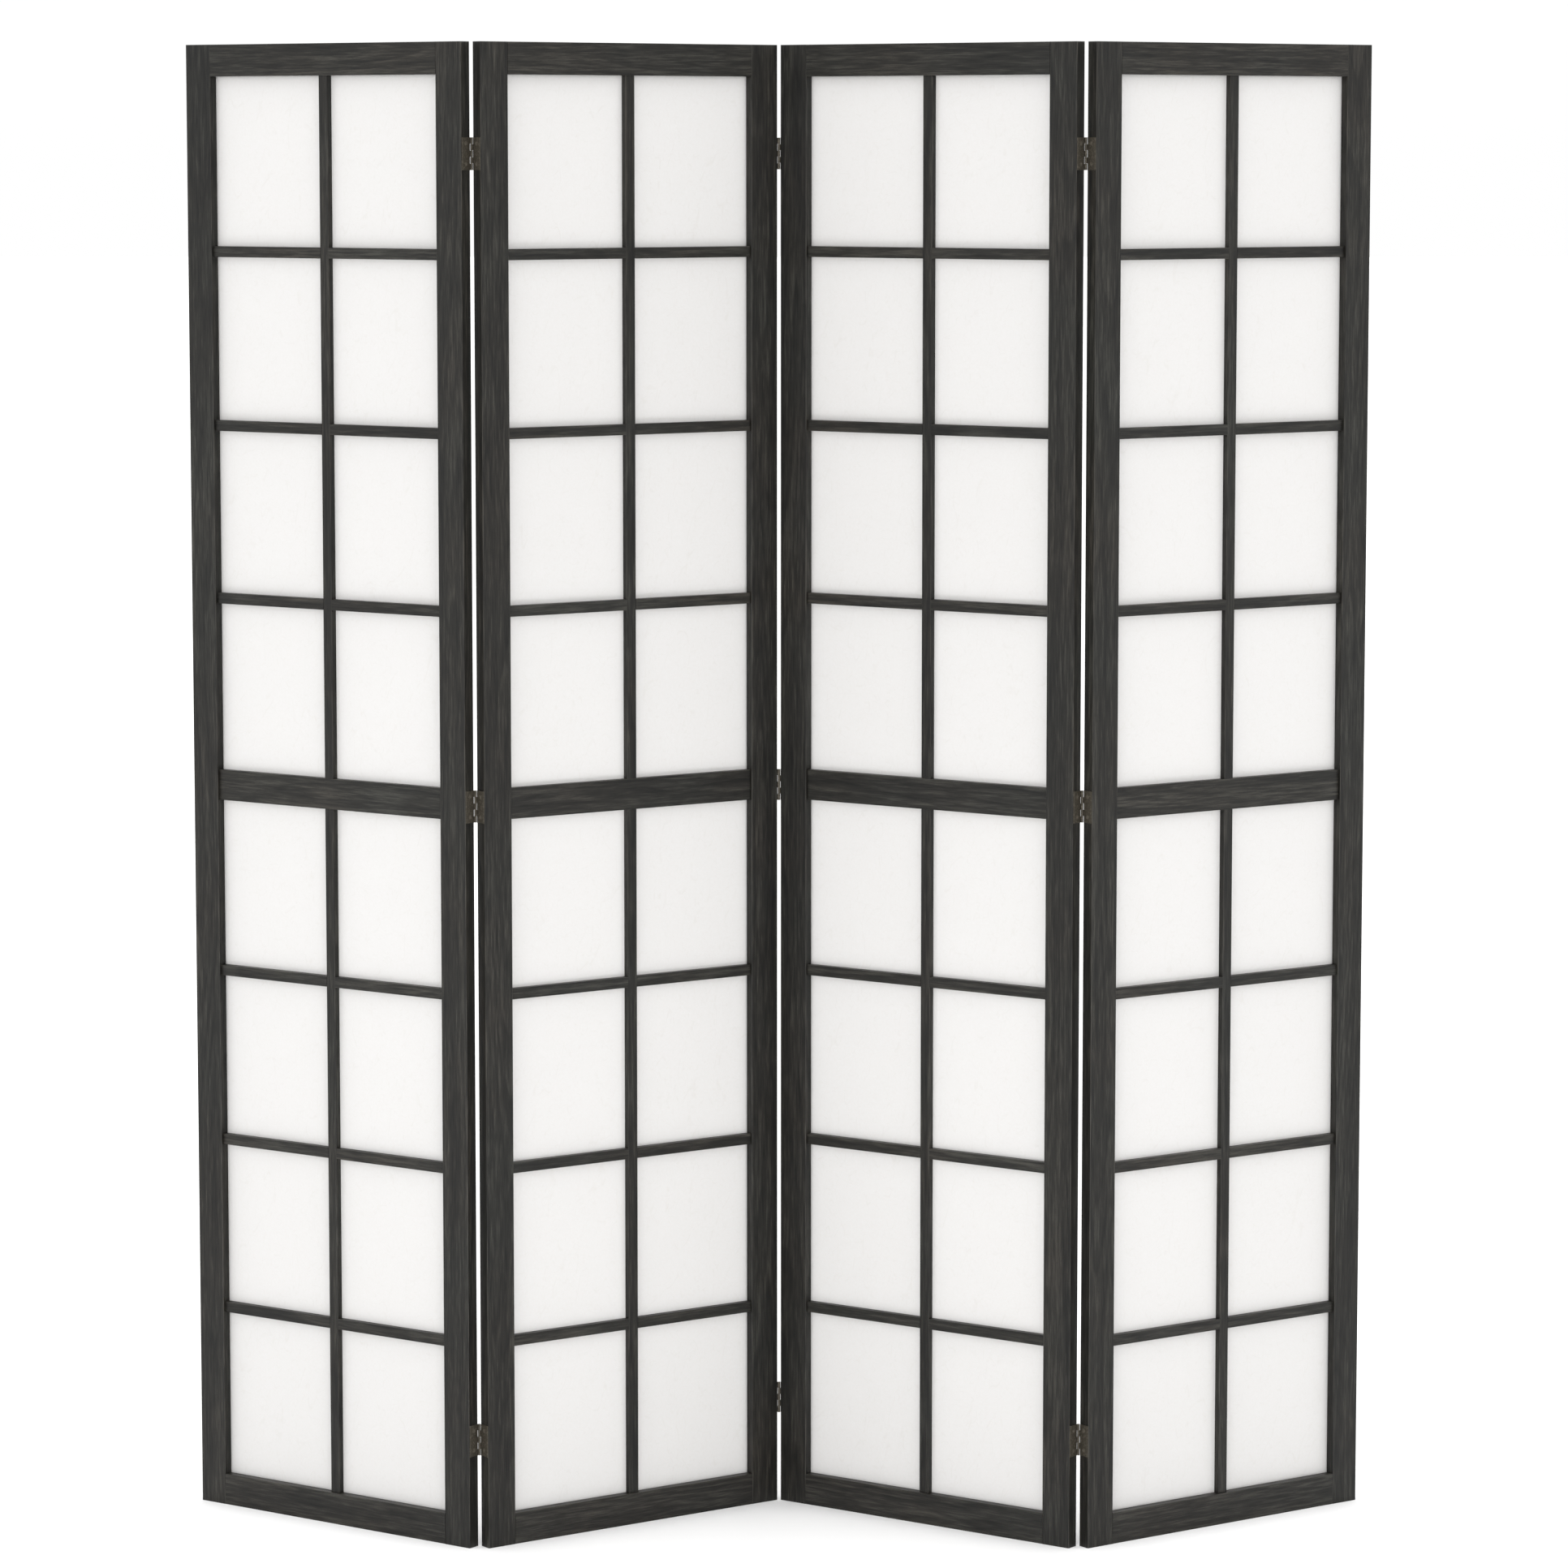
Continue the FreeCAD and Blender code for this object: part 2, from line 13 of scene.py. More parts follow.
import bpy
import numpy as np
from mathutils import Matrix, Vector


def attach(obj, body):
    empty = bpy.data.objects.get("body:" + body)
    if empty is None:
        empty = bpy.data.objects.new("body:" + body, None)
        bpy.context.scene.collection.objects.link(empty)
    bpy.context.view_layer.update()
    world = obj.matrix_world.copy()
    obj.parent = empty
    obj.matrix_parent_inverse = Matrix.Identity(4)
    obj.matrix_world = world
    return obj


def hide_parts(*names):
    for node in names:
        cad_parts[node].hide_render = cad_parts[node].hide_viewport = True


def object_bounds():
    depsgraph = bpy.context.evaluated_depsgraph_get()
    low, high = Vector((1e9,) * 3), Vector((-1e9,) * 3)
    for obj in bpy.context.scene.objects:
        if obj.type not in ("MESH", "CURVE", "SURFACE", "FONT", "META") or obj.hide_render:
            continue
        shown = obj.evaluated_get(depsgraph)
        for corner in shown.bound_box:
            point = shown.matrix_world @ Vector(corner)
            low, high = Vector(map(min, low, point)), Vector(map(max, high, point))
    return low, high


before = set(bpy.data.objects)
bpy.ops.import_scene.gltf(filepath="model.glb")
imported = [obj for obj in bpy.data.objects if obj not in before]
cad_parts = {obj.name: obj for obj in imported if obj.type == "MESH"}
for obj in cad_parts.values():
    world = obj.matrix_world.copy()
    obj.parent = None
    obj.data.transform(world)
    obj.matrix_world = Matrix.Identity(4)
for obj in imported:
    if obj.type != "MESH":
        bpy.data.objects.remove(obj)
cad_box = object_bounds()

MM = 0.001
PANELS = (1, 2, 3, 4)
scene = bpy.context.scene

# %% [markdown]
# ## Where a panel stands
#
# Each panel is turned about the vertical, so a box along X and Y says little about it. The turn could be
# typed in, but it is safer to measure it: the four corners of the paper, seen from above, make a long thin
# rectangle, and the main axis of those points is the direction across the panel. With that angle, any node
# of the panel can be measured in the panel's own directions: across, back and up.


# %% Measure each panel in its own directions
def corners_of(node):
    """All the vertices of a node, as an array of three columns."""
    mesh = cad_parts[node].data
    flat = np.empty(3 * len(mesh.vertices))
    mesh.vertices.foreach_get("co", flat)
    return flat.reshape(-1, 3)


def turn_of(panel):
    """The panel's turn about the vertical: the direction of the longest spread of its paper's corners."""
    plan = corners_of(f"panel_{panel}_paper")[:, :2]
    across = np.linalg.svd(plan - plan.mean(axis=0))[2][0]
    return math.atan(across[1] / across[0])


def turn_points(points, angle):
    """Points turned about the vertical through the origin by an angle."""
    cos, sin = math.cos(angle), math.sin(angle)
    x, y, z = points.T
    return np.column_stack((x * cos - y * sin, x * sin + y * cos, z))


def panel_box(panel, node):
    """The lowest and highest corners of a node, measured across, back and up in the panel's directions."""
    points = turn_points(corners_of(node), -turns[panel])
    return points.min(axis=0), points.max(axis=0)


turns = {panel: turn_of(panel) for panel in PANELS}
print("turns in degrees:", [round(math.degrees(turn), 2) for turn in turns.values()])

# %% [markdown]
# ## The camera
#
# The picture was taken from about seven metres with a long lens, a little under the height of the screen and
# looking slightly down, so the panels' sides stay nearly upright and the foot of each fold dips. A long lens
# far away, not a short one close by, is what keeps the four panels the same size.

# %% Set up the camera
CAMERA_PLACE = (0.0056, -6.7717, 1.6679)
CAMERA_PITCH_DOWN = 6.414
LENS = 130.12
SENSOR_WIDTH = 36
CAMERA_SHIFT = 0.0003

camera_data = bpy.data.cameras.new("camera")
camera_data.lens = LENS
camera_data.sensor_width = SENSOR_WIDTH
camera_data.shift_x = CAMERA_SHIFT
camera = bpy.data.objects.new("camera", camera_data)
camera.location = CAMERA_PLACE
camera.rotation_euler = (math.radians(90 - CAMERA_PITCH_DOWN), 0, 0)
scene.collection.objects.link(camera)
scene.camera = camera
print("camera at", CAMERA_PLACE, "with a lens of", LENS, "mm")

# %% [markdown]
# ## The floor
#
# A product picture on white has no line between floor and background. So the floor is very wide, and it sends
# all of its light back. The standard view keeps white at white, where a film-like view would turn it grey.

# %% Lay the floor
FLOOR_HALF_SIDE = 80.0
WHITE = (1.0, 1.0, 1.0, 1)

scene.view_settings.view_transform = "Standard"

floor_corners = [
    (-FLOOR_HALF_SIDE, -FLOOR_HALF_SIDE, 0),
    (FLOOR_HALF_SIDE, -FLOOR_HALF_SIDE, 0),
    (FLOOR_HALF_SIDE, FLOOR_HALF_SIDE, 0),
    (-FLOOR_HALF_SIDE, FLOOR_HALF_SIDE, 0),
]
floor_mesh = bpy.data.meshes.new("floor")
floor_mesh.from_pydata(floor_corners, [], [(0, 1, 2, 3)])
floor = bpy.data.objects.new("floor", floor_mesh)
scene.collection.objects.link(floor)

floor_material = bpy.data.materials.new("pale_floor")
floor_material.use_nodes = True
floor_shader = floor_material.node_tree.nodes["Principled BSDF"]
floor_shader.inputs["Base Color"].default_value = WHITE
floor_shader.inputs["Roughness"].default_value = 1.0
floor_shader.inputs["Specular IOR Level"].default_value = 0.0
floor_mesh.materials.append(floor_material)
print("floor laid:", 2 * FLOOR_HALF_SIDE, "m wide")

# %% [markdown]
# ## The sky
#
# Light from all round keeps the shadows faint, and a white sky does most of that work. At the horizon it is
# exactly as bright as white, so it meets the floor without a line. Overhead it is brighter, which lifts the
# floor's own shadows. How high a direction points says how bright the sky is there.

# %% Make the white sky
HORIZON_BRIGHTNESS = 1.0
OVERHEAD_BRIGHTNESS = 1.6

world = bpy.data.worlds.new("white_sky")
world.use_nodes = True
sky = world.node_tree
direction = sky.nodes.new("ShaderNodeTexCoord").outputs["Generated"]
height = sky.nodes.new("ShaderNodeSeparateXYZ")
brightness = sky.nodes.new("ShaderNodeMapRange")
brightness.inputs["To Min"].default_value = HORIZON_BRIGHTNESS
brightness.inputs["To Max"].default_value = OVERHEAD_BRIGHTNESS
sky.links.new(direction, height.inputs[0])
sky.links.new(height.outputs["Z"], brightness.inputs["Value"])
sky.links.new(brightness.outputs["Result"], sky.nodes["Background"].inputs["Strength"])
sky.nodes["Background"].inputs["Color"].default_value = WHITE
scene.world = world
print("sky:", HORIZON_BRIGHTNESS, "at the horizon,", OVERHEAD_BRIGHTNESS, "overhead")

# %% [markdown]
# ## The lamps
#
# Two large soft lamps in front, the left one stronger, make the panels that face left a little lighter than
# those that face right. A third one, small and low, stands close to the middle of the screen, just under the
# picture. It lights the lower panes of the two middle panels, which see less of the sky than the rest.

# %% Hang the lamps
# Each lamp: its place, its power in watts, its width and its height.
LAMPS = {
    "front_left_lamp": ((-5.6, -7.2, 1.0), 100, 4.0, 4.0),
    "front_right_lamp": ((5.6, -7.2, 0.9), 66, 4.0, 4.0),
    "low_lamp": ((0.0, -1.5, 0.16), 5.2, 0.9, 0.24),
}


def hang_lamp(name, place, power, width, height):
    """A soft lamp that points at the middle of the screen: it turns towards it, and tips down or up to it."""
    data = bpy.data.lights.new(name, "AREA")
    data.shape = "RECTANGLE"
    data.size = width
    data.size_y = height
    data.energy = power
    lamp = bpy.data.objects.new(name, data)
    lamp.location = place
    across, back, up = place
    level = math.hypot(across, back)
    middle_height = cad_box[1][2] / 2
    lamp.rotation_euler = (math.atan2(level, up - middle_height), 0, math.atan2(across, -back))
    scene.collection.objects.link(lamp)


for name, (place, power, width, height) in LAMPS.items():
    hang_lamp(name, place, power, width, height)
print("lamps hung:", len(bpy.data.lights))

# %% [markdown]
# ## A short way to write materials
#
# A material is a small graph. Writing each node, link and value by hand takes many lines, so one helper adds
# a node, and either links an input or sets it, depending on what it is given. The others are built on it.


# %% Add nodes and mix what they give
def put(tree, kind, inputs=None, **settings):
    """Adds a shader node. An input given as a socket is linked to it, and any other value is set."""
    node = tree.nodes.new(kind)
    for name, value in settings.items():
        setattr(node, name, value)
    for name, value in (inputs or {}).items():
        if isinstance(value, bpy.types.NodeSocket):
            tree.links.new(value, node.inputs[name])
        else:
            node.inputs[name].default_value = value
    return node


def math_node(tree, operation, first, second):
    """The result of one sum, such as ADD or MAXIMUM, on two values."""
    return put(tree, "ShaderNodeMath", {0: first, 1: second}, operation=operation).outputs[0]


def blend_values(tree, share, first, second):
    """The first value, with a share of the second in its place."""
    return put(tree, "ShaderNodeMix", {0: share, 2: first, 3: second}).outputs[0]


def mix_colours(tree, share, first, second, blend_type="MIX"):
    """The first colour, with a share of the second in its place or multiplied with it."""
    values = {0: share, 6: first, 7: second}
    return put(tree, "ShaderNodeMix", values, data_type="RGBA", blend_type=blend_type).outputs[2]


def new_material(name):
    """A material with one Principled shader, and its tree and shader."""
    material = bpy.data.materials.new(name)
    material.use_nodes = True
    return material, material.node_tree, material.node_tree.nodes["Principled BSDF"]


print("helpers ready: put, math_node, blend_values, mix_colours, new_material")

# %% [markdown]
# Most patterns here start as cloudy noise. A range of its values is then stretched out, so that only its
# peaks show, or a ramp gives each value a colour.


# %% Noise, ranges and ramps
def noise(tree, vector, scale, detail=2.0, roughness=0.5):
    """Cloudy grey noise, with about as many clouds in a metre as the scale says."""
    values = {"Vector": vector, "Scale": scale, "Detail": detail, "Roughness": roughness}
    return put(tree, "ShaderNodeTexNoise", values).outputs["Fac"]


def remap(tree, value, low, high, to_low=0.0, to_high=1.0):
    """A value stretched from one range to another, and held there."""
    values = {"Value": value, "From Min": low, "From Max": high, "To Min": to_low, "To Max": to_high}
    return put(tree, "ShaderNodeMapRange", values).outputs["Result"]


def ramp(tree, value, stops):
    """A colour for each value: stops are (place, colour) pairs."""
    node = put(tree, "ShaderNodeValToRGB", {"Fac": value})
    elements = node.color_ramp.elements
    for place, _ in stops[2:]:
        elements.new(place)
    for element, (place, colour) in zip(elements, stops):
        element.position = place
        element.color = (*colour, 1)
    return node.outputs["Color"]


print("helpers ready: noise, remap, ramp")

# %% [markdown]
# ## The grain of the wood
#
# The frames are a light, straight-grained wood under a black-brown stain. The wood was brushed before it was
# stained, so the grain shows as pale streaks two or three millimetres wide and a few centimetres long, with
# fine fibres and short dark pores between them. Under all of it run the year rings of a straight-grained
# board: thin darker lines, a few millimetres apart.
#
# A picture of wood would repeat and stretch. Noise drawn out along the grain never repeats, and it passes
# through the whole board, so it meets at the edges and shows as dots on the end grain. Boards that stand take
# the long direction up. Boards that lie take it across the panel, once the pattern is turned with the panel.
# The rings are the level lines of one slow noise: its value is counted off in equal steps, and each step
# rises slowly through the soft wood and ends in a short dark line, as a year's growth does.

# %% Draw the grain
# Each layer of the grain: the width and length of its marks, and how many finer layers of noise they carry.
BANDS = (14 * MM, 500 * MM, 2.0)
STREAKS = (2.6 * MM, 45 * MM, 3.0)
FIBRES = (0.8 * MM, 18 * MM, 2.0)
PORES = (0.4 * MM, 4 * MM, 1.0)
RINGS = (60 * MM, 900 * MM, 1.0)
YEARS_IN_FULL_RANGE = 16
WOOD_HARDENS = 0.35
YEAR_DARKEST = 0.92
YEAR_ENDS = 1.0
GRAIN_WANDER = 1.2 * MM
GRAIN_WANDERS_PER_METRE = 14


def turned_with_panel(tree, vector, turn, kind):
    """A place or a normal in the panel's own directions: across, back and up."""
    values = {"Vector": vector, "Rotation": (0, 0, -turn)}
    return put(tree, "ShaderNodeMapping", values, vector_type=kind).outputs["Vector"]


def wandering(tree, place):
    """A place pushed aside a little by slow noise, so that no line of the grain is as straight as a ruler."""
    values = {"Vector": place, "Scale": GRAIN_WANDERS_PER_METRE, "Detail": 1.0}
    wander = put(tree, "ShaderNodeTexNoise", values).outputs["Color"]
    reach = (GRAIN_WANDER, GRAIN_WANDER, GRAIN_WANDER)
    drift = put(tree, "ShaderNodeVectorMath", {0: wander, 1: reach}, operation="MULTIPLY").outputs[0]
    return put(tree, "ShaderNodeVectorMath", {0: place, 1: drift}, operation="ADD").outputs[0]


def drawn_noise(tree, place, lies_across, width, length, detail):
    """Marks about as wide and as long as given, in metres: noise drawn out along the grain."""
    across, along = 1 / width, 1 / length
    scale = (along, across, across) if lies_across else (across, across, along)
    marks = put(tree, "ShaderNodeMapping", {"Vector": place, "Scale": scale}).outputs["Vector"]
    return noise(tree, marks, 1.0, detail)


def year_rings(tree, slow_noise):
    """Thin dark lines where a slow noise passes equal steps: soft wood for most of a step, then hard wood."""
    years = math_node(tree, "MULTIPLY", slow_noise, YEARS_IN_FULL_RANGE)
    share_of_year = math_node(tree, "FRACT", years, 0.0)
    hardening = remap(tree, share_of_year, WOOD_HARDENS, YEAR_DARKEST)
    ending = remap(tree, share_of_year, YEAR_ENDS, YEAR_DARKEST)
    return math_node(tree, "MULTIPLY", hardening, ending)


print(f"streaks: {STREAKS[0] / MM:.1f} by {STREAKS[1] / MM:.0f} mm")

# %% [markdown]
# ## The worn and highlighted edges
#
# Where hands pass along an edge, the stain wears thin, and an eased edge also catches a thin line of light.
# Both
# are painted here as one paler colour: partly real wear, partly a painted highlight. Painting that by hand
# would be slow on so many boards. The eased edges are the only faces whose normal lies between two of the
# board's own directions, so the normal says where to lighten.

# %% Find the eased edges
FLAT_FACE = 0.95
EASED_EDGE = 0.80


def eased_edge(tree, turn):
    """One on the eased edges of a board, and nothing on its faces.

    The largest part of a face's normal, in the panel's own directions, is 1 on a face and 0.7 on an eased
    edge, which lies halfway between two faces.
    """
    normal = put(tree, "ShaderNodeTexCoord").outputs["Normal"]
    square = turned_with_panel(tree, normal, turn, "NORMAL")
    sizes = put(tree, "ShaderNodeVectorMath", {0: square}, operation="ABSOLUTE").outputs[0]
    parts = put(tree, "ShaderNodeSeparateXYZ", {0: sizes}).outputs
    largest = math_node(tree, "MAXIMUM", math_node(tree, "MAXIMUM", parts[0], parts[1]), parts[2])
    return remap(tree, largest, FLAT_FACE, EASED_EDGE)


print(f"largest part of the normal halfway between two faces: {math.sqrt(1 / 2):.2f}")

# %% [markdown]
# ## The stain
#
# One tone gathers the layers of the grain, and three stains follow it, from nearly black in the hard wood to
# a dark grey-brown on the brushed streaks. A stain is never even, so broad clouds make it a little warmer
# here and a little greener there. The relief and the gloss follow the tone too: the pale streaks stand a
# little proud and are smoother, and the pores are small pits.

# %% Make the wood
DARK_STAIN = (0.0030, 0.0028, 0.0024)
MIDDLE_STAIN = (0.0128, 0.0120, 0.0101)
PALE_STAIN = (0.0430, 0.0405, 0.0350)
STAIN_BY_TONE = [(0.36, DARK_STAIN), (0.50, MIDDLE_STAIN), (0.66, PALE_STAIN)]
PORE_BLACK = (0.0040, 0.0040, 0.0036, 1)
# The eased edges' paler colour: worn stain and a painted highlight in one.
RUBBED_AND_HIGHLIGHT_COLOUR = (0.060, 0.056, 0.048, 1)
WARM_TINT = (1.0, 0.95, 0.90, 1)
GREEN_TINT = (0.96, 1.0, 0.98, 1)
TINT_CLOUDS_PER_METRE = 7.0

STREAKS_OVER_BANDS = 0.65
FIBRES_OVER_STREAKS = 0.30
RINGS_DARKEN = 0.07
PORES_DARKEN = 0.55
PORES_DEEPEN = 0.3
WOOD_SPECULAR = 0.26
BRUSHED_RELIEF = 0.08 * MM
BRUSHED_STRENGTH = 0.5

# What remap stretches: the range of the noise or tone, and the range it becomes where that isn't 0 to 1.
PORE_RANGE = (0.60, 0.72)
TINT_RANGE = (0.35, 0.65)
# How strongly the eased edges are lightened along the streaks: worn stain and a painted highlight.
RUB_AND_HIGHLIGHT_BY_STREAK = (0.4, 0.6, 0.1, 0.55)
ROUGHNESS_BY_TONE = (0.35, 0.65, 0.46, 0.38)


def grain_layers(tree, place, lies_across, paler):
    """How pale the wood is at a place, with its streaks and its pores."""
    bands = drawn_noise(tree, place, lies_across, *BANDS)
    streaks = drawn_noise(tree, place, lies_across, *STREAKS)
    fibres = drawn_noise(tree, place, lies_across, *FIBRES)
    pores = remap(tree, drawn_noise(tree, place, lies_across, *PORES), *PORE_RANGE)
    rings = year_rings(tree, drawn_noise(tree, place, lies_across, *RINGS))
    tone = blend_values(tree, STREAKS_OVER_BANDS, bands, streaks)
    tone = blend_values(tree, FIBRES_OVER_STREAKS, tone, fibres)
    tone = math_node(tree, "SUBTRACT", tone, math_node(tree, "MULTIPLY", rings, RINGS_DARKEN))
    return math_node(tree, "ADD", tone, paler), streaks, pores


def wood_material(name, turn, lies_across, paler):
    """Stained wood whose grain stands, or lies across a panel that is turned by an angle."""
    material, tree, shader = new_material(name)
    place = put(tree, "ShaderNodeTexCoord").outputs["Object"]
    square = turned_with_panel(tree, place, turn, "POINT")
    tone, streaks, pores = grain_layers(tree, wandering(tree, square), lies_across, paler)

    tint_share = remap(tree, noise(tree, square, TINT_CLOUDS_PER_METRE), *TINT_RANGE)
    tint = mix_colours(tree, tint_share, GREEN_TINT, WARM_TINT)
    tinted = mix_colours(tree, 1.0, ramp(tree, tone, STAIN_BY_TONE), tint, "MULTIPLY")
    pored = mix_colours(tree, math_node(tree, "MULTIPLY", pores, PORES_DARKEN), tinted, PORE_BLACK)
    # The eased edges are painted paler, partly as worn stain and partly as a painted highlight along the
    # arris.
    rubbed_and_highlight = math_node(tree, "MULTIPLY", eased_edge(tree, turn), remap(tree, streaks, *RUB_AND_HIGHLIGHT_BY_STREAK))
    tree.links.new(mix_colours(tree, rubbed_and_highlight, pored, RUBBED_AND_HIGHLIGHT_COLOUR), shader.inputs["Base Color"])

    tree.links.new(remap(tree, tone, *ROUGHNESS_BY_TONE), shader.inputs["Roughness"])
    shader.inputs["Specular IOR Level"].default_value = WOOD_SPECULAR
    height = math_node(tree, "SUBTRACT", tone, math_node(tree, "MULTIPLY", pores, PORES_DEEPEN))
    relief = {"Height": height, "Strength": BRUSHED_STRENGTH, "Distance": BRUSHED_RELIEF}
    tree.links.new(put(tree, "ShaderNodeBump", relief).outputs["Normal"], shader.inputs["Normal"])
    return material


print("stains by tone:", ", ".join(f"{place:.2f}" for place, _ in STAIN_BY_TONE))

# %% [markdown]
# ## Finish the frames and the lattice
#
# The stiles and the lattice's uprights have standing grain. The rails and the crossbars have grain that runs
# across the panel. Panels that are turned alike can share their two woods, because the noise differs from
# place to place anyway. The rails and crossbars are painted a touch paler than the rest. This is a painted
# sheen for the way grain that lies across the panel catches the light. Each node keeps its mesh and takes the
# material in its slots.

# %% Put the wood on its nodes
STANDING = ("stile_left", "stile_right", "lattice_uprights")
LYING = ("rail_bottom", "rail_middle", "rail_top", "lattice_crossbars")
# How much paler the rails and crossbars are painted: a painted sheen for grain that lies across the panel.
RAILS_PAINTED_SHEEN = 0.022
PANELS_TURNED_ALIKE = {"left_facing": (1, 3), "right_facing": (2, 4)}


def finish_node(node, material):
    """Gives a CAD node's object one material in all its slots."""
    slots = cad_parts[node].data.materials
    if not slots:
        slots.append(material)
    for number in range(len(slots)):
        slots[number] = material


for side, panels in PANELS_TURNED_ALIKE.items():
    turn = turns[panels[0]]
    standing_wood = wood_material(f"standing_wood_{side}", turn, False, 0.0)
    lying_wood = wood_material(f"lying_wood_{side}", turn, True, RAILS_PAINTED_SHEEN)
    for panel in panels:
        for part in STANDING:
            finish_node(f"panel_{panel}_{part}", standing_wood)
        for part in LYING:
            finish_node(f"panel_{panel}_{part}", lying_wood)
print("wooden nodes finished:", len(PANELS) * (len(STANDING) + len(LYING)))

# %% [markdown]
# ## The paper
#
# One sheet covers a whole panel. It is glued to the back of the lattice, and its edges sit in a groove of the
# frame. Paper shrinks drum-tight as it dries, yet each pane still swells by a few tenths of a millimetre
# between the bars, and that is what catches the light. A flat plate would be simpler and look dead. Simulated
# cloth would be slower and no better, because the shape is known: nothing at the bars, most in the middle of
# a pane. So the sheet is a surface of two parameters, across and up, with that swell as its depth.

# %% Find the bars that hold the paper
LEAST_GAP = 50 * MM


def levels_of(node):
    """The (bottom, top) of each bar of a node: its vertices' heights, split where they leave a wide gap."""
    heights = np.unique(corners_of(node)[:, 2])
    breaks = np.flatnonzero(np.diff(heights) > LEAST_GAP) + 1
    return [(bar.min(), bar.max()) for bar in np.split(heights, breaks)]


def holding_bars(panel):
    """The (start, end) pairs of what holds the paper: one list from left to right, one from foot to top."""
    beside = []
    for part in ("stile_left", "lattice_uprights", "stile_right"):
        low, high = panel_box(panel, f"panel_{panel}_{part}")
        beside.append((low[0], high[0]))
    above = levels_of(f"panel_{panel}_lattice_crossbars")
    for part in ("rail_bottom", "rail_middle", "rail_top"):
        low, high = panel_box(panel, f"panel_{panel}_{part}")
        above.append((low[2], high[2]))
    return beside, sorted(above)


for panel in PANELS:
    beside, above = holding_bars(panel)
    print(f"panel {panel}: {len(beside) - 1} by {len(above) - 1} panes")

# %% [markdown]
# The swell needs to know how far each place lies through its pane. That share runs from 0 at one bar to 1 at
# the next, and half a sine wave of it gives a curve that starts and ends at the bars. The product of the two
# curves, across and up, is a pillow. A power a little under one fills its corners out, as drying paper does.

# %% Stretch the paper
PAPER_THICKNESS = 0.36 * MM
PAPER_SWELL = 0.45 * MM
PAPER_CELL = 8 * MM
CORNER_FILL = 0.7


def pane_share(places, bars):
    """The share of the way from the end of one bar to the start of the next, and 0 on the bars."""
    share = np.zeros_like(places)
    for (_, start), (end, _) in zip(bars, bars[1:]):
        inside = (places > start) & (places < end)
        share[inside] = (places[inside] - start) / (end - start)
    return share


def grid_faces(rows, columns):
    """The quads of a grid whose points are numbered row by row."""
    first = (np.arange(rows - 1)[:, None] * columns + np.arange(columns - 1)).ravel()
    return np.column_stack((first, first + 1, first + columns + 1, first + columns))


def stretch_paper(panel):
    """A sheet at the paper's own place, swelling back by PAPER_SWELL (sin across x sin up) ^ CORNER_FILL."""
    node = f"panel_{panel}_paper"
    low, high = panel_box(panel, node)
    width, height = high[0] - low[0], high[2] - low[2]
    across = np.linspace(low[0], high[0], 1 + round(width / PAPER_CELL))
    up = np.linspace(low[2], high[2], 1 + round(height / PAPER_CELL))
    beside, above = holding_bars(panel)
    curve_across = np.sin(np.pi * pane_share(across, beside))
    curve_up = np.sin(np.pi * pane_share(up, above))
    swell = PAPER_SWELL * np.outer(curve_up, curve_across) ** CORNER_FILL
    grid_across, grid_up = np.meshgrid(across, up)
    grid_back = (low[1] + high[1]) / 2 + swell
    points = np.column_stack((grid_across.ravel(), grid_back.ravel(), grid_up.ravel()))

    mesh = bpy.data.meshes.new(f"{node}_sheet")
    faces = grid_faces(len(up), len(across))
    mesh.from_pydata(turn_points(points, turns[panel]).tolist(), [], faces.tolist())
    mesh.shade_smooth()
    sheet = bpy.data.objects.new(f"{node}_sheet", mesh)
    scene.collection.objects.link(sheet)
    solidify = sheet.modifiers.new("paper_thickness", "SOLIDIFY")
    solidify.thickness = PAPER_THICKNESS
    solidify.offset = 0.0
    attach(sheet, f"panel_{panel}")
    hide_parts(node)
    print(f"{sheet.name}: {len(faces)} quads, {width:.3f} by {height:.3f} m")
    return sheet


sheets = [stretch_paper(panel) for panel in PANELS]

# %% [markdown]
# ## The look of the paper
#
# Shoji paper is long pale fibres, felted together. It sends most light back and lets the rest through softly,
# which is why the bars show as blurred shadows from behind. A matt shader mixed with a translucent one does
# that.
#
# Long fibres are hard to draw one by one, but easy to find: where a smooth noise passes through its middle
# value, it draws a thin line that wanders for centimetres and never crosses itself. A noise that is drawn out
# one way gives lines that mostly run that way, in long gentle curves. Three such noises, each drawn out in a
# direction of its own, give three layers of lines that do cross, as felted fibres do.

# %% Draw the fibres
# Each layer of fibres: its lean in degrees, its wanders in a metre, and the width and strength of its lines.
FIBRE_LAYERS = ((15, 34.0, 0.012, 0.60), (75, 52.0, 0.015, 0.50), (135, 80.0, 0.020, 0.40))
FIBRE_STRETCH = 4
MIDDLE_VALUE = 0.5
FADES_PER_WANDER = 3
FADE_RANGE = (0.45, 0.60)


def fibre_lines(tree, place, degrees, scale, width, strength):
    """Thin lines where a drawn-out noise passes through its middle value, faded along their length."""
    turned = (0, math.radians(degrees), 0)
    size = (1 / scale, 1 / scale, FIBRE_STRETCH / scale)
    values = {"Vector": place, "Rotation": turned, "Scale": size}
    drawn_out = put(tree, "ShaderNodeMapping", values, vector_type="TEXTURE").outputs["Vector"]
    above_middle = math_node(tree, "SUBTRACT", noise(tree, drawn_out, 1.0, 1.0), MIDDLE_VALUE)
    distance = math_node(tree, "ABSOLUTE", above_middle, 0.0)
    line = remap(tree, distance, width, 0.0, 0.0, strength)
    fade = remap(tree, noise(tree, place, FADES_PER_WANDER * scale, 1.0), *FADE_RANGE)
    return math_node(tree, "MULTIPLY", line, fade)


print("layers of fibres:", len(FIBRE_LAYERS))

